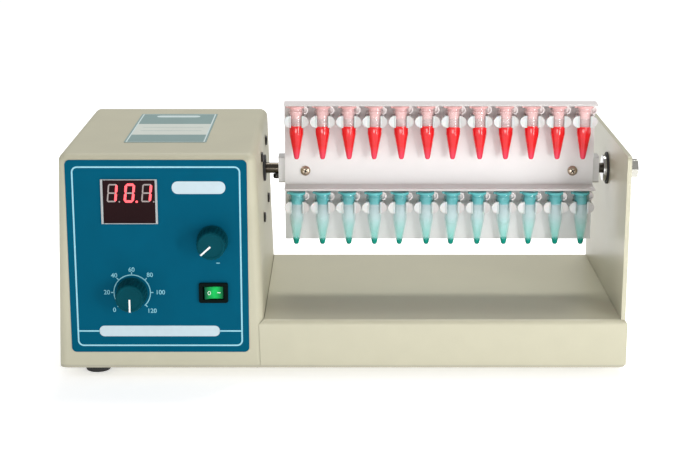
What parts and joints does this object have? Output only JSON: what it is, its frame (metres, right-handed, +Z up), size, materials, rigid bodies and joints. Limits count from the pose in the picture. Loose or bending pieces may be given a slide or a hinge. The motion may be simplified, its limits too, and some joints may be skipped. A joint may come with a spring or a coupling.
{
  "type": "tube rotator",
  "caption": "Bench tube rotator: a motor housing with dials and a display turns a clip rack of microtubes about a horizontal shaft over a low tray with an end plate.",
  "frame": {"origin": "centre of the whole instrument's footprint, on the bench under its feet", "axes": "+X along the rotor shaft, from the drive housing to the upright; -Y to the front, where the controls are; +Z up"},
  "size_m": [0.4306, 0.2144, 0.1904],
  "materials": {
    "housing_beige": "fine-textured moulded beige",
    "tray_beige": "beige powder coat",
    "base_grey": "grey-beige powder coat",
    "panel_blue": "satin blue printed overlay",
    "bezel_pale": "satin pale frame",
    "display_dark": "dark window with light bars",
    "board_green": "solder-masked board",
    "switch_black": "black",
    "rocker_green": "translucent green, lit",
    "terminal_brass": "plain",
    "knob_teal": "dark teal, satin",
    "pointer_white": "white inlay",
    "steel_bright": "bright",
    "nut_nickel": "nickel-plated",
    "movement_case": "dark grey",
    "gearbox_aluminium": "as cast",
    "motor_steel": "black enamel",
    "screw_dark": "black oxide",
    "screw_zinc": "zinc-plated",
    "screw_brass": "yellow-passivated",
    "rubber_black": "matt",
    "block_aluminium": "milled",
    "bearing_bronze": "sintered bronze",
    "rack_aluminium": "satin anodised",
    "clip_white": "moulded white",
    "tube_clear": "clear, slightly pink",
    "tube_teal": "pale teal, translucent",
    "cap_pink": "translucent pink-white",
    "cap_teal": "teal",
    "bush_chrome": "polished",
    "bolt_steel": "bright",
    "inlet_black": "black moulding",
    "core_steel": "varnished laminations",
    "coil_tape": "yellow tape over copper",
    "parts_black": "sleeved parts",
    "label_pale": "printed bands, satin"
  },
  "bodies": {
    "base": {"base_plate": "base_grey", "base_screws": "screw_zinc", "board_parts": "parts_black", "board_spacers": "terminal_brass", "control_board": "board_green", "control_panel": "panel_blue", "display_bezel": "bezel_pale", "display_blank": "display_dark", "display_board": "board_green", "display_module": "display_dark", "feet": "rubber_black", "fuse_cap": "inlet_black", "fuse_holder": "inlet_black", "gearbox": "gearbox_aluminium", "housing_shell": "housing_beige", "inlet_pins": "terminal_brass", "inlet_screws": "screw_zinc", "motor": "motor_steel", "motor_screws": "screw_dark", "pivot_bush": "bush_chrome", "pivot_gasket": "rubber_black", "power_inlet": "inlet_black", "shaft_seal": "rubber_black", "speed_nut": "nut_nickel", "speed_potentiometer": "movement_case", "switch_body": "switch_black", "switch_terminals": "terminal_brass", "timer_mechanism": "movement_case", "timer_nut": "nut_nickel", "top_label": "label_pale", "transformer_coil": "coil_tape", "transformer_core": "core_steel", "tray": "tray_beige", "upright": "tray_beige", "upright_screws": "screw_dark"},
    "rotor": {"rotor_shaft": "steel_bright", "drive_screw": "screw_dark", "left_end_block": "block_aluminium", "right_end_block": "block_aluminium", "pivot_bearing": "bearing_bronze", "rack_channel": "rack_aluminium", "rack_back_plate": "rack_aluminium", "rack_screws": "screw_brass", "upper_clips": "clip_white", "lower_clips": "clip_white", "upper_tubes": "tube_clear", "lower_tubes": "tube_teal", "upper_caps": "cap_pink", "lower_caps": "cap_teal"},
    "speed_control": {"speed_knob": "knob_teal", "speed_pointer": "pointer_white", "speed_spindle": "steel_bright"},
    "timer_control": {"timer_knob": "knob_teal", "timer_pointer": "pointer_white", "timer_spindle": "steel_bright"},
    "power_rocker": {"power_rocker": "rocker_green"},
    "pivot_bolt": {"pivot_bolt": "bolt_steel"}
  },
  "joints": [
    {"name": "rotor_spin", "type": "hinge", "parent": "base", "child": "rotor", "pos_m": [0, 0.0012, 0.137], "axis": [1, 0, 0], "continuous": true},
    {"name": "speed_turn", "type": "hinge", "parent": "base", "child": "speed_control", "pos_m": [-0.10195, -0.0902, 0.1035], "axis": [0, 1, 0], "range_deg": [0, 264]},
    {"name": "timer_turn", "type": "hinge", "parent": "base", "child": "timer_control", "pos_m": [-0.16045, -0.0902, 0.065], "axis": [0, 1, 0], "range_deg": [0, 315]},
    {"name": "rocker_tilt", "type": "hinge", "parent": "base", "child": "power_rocker", "pos_m": [-0.10195, -0.0888, 0.065], "axis": [0, 0, 1], "range_deg": [-16, 0]},
    {"name": "bolt_release", "type": "slide", "parent": "base", "child": "pivot_bolt", "axis": [1, 0, 0], "range_m": [0, 0.012]}
  ]
}
